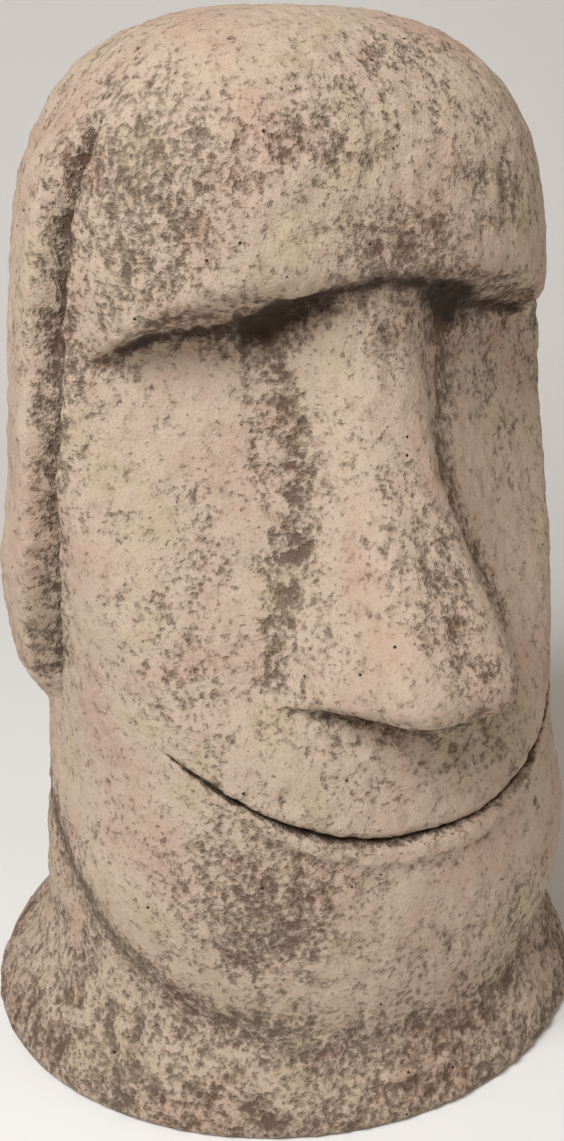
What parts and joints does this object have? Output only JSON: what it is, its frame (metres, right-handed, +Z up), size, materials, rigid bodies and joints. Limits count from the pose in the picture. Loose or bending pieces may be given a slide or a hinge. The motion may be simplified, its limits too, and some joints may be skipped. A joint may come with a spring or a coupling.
{
  "type": "moai head statue",
  "caption": "Garden statue of a moai head in cast stone: long nose, heavy brow, strip ears and a smiling mouth line, standing on its own flared neck.",
  "frame": {"origin": "middle of the flared neck's flat underside, in the statue's middle plane", "axes": "+Z up, the face looks along -Y, +X towards the statue's left ear"},
  "size_m": [0.3594, 0.3569, 0.56],
  "materials": {
    "cast_stone": "matte"
  },
  "bodies": {
    "root": {"moai_head": "cast_stone"}
  },
  "joints": []
}
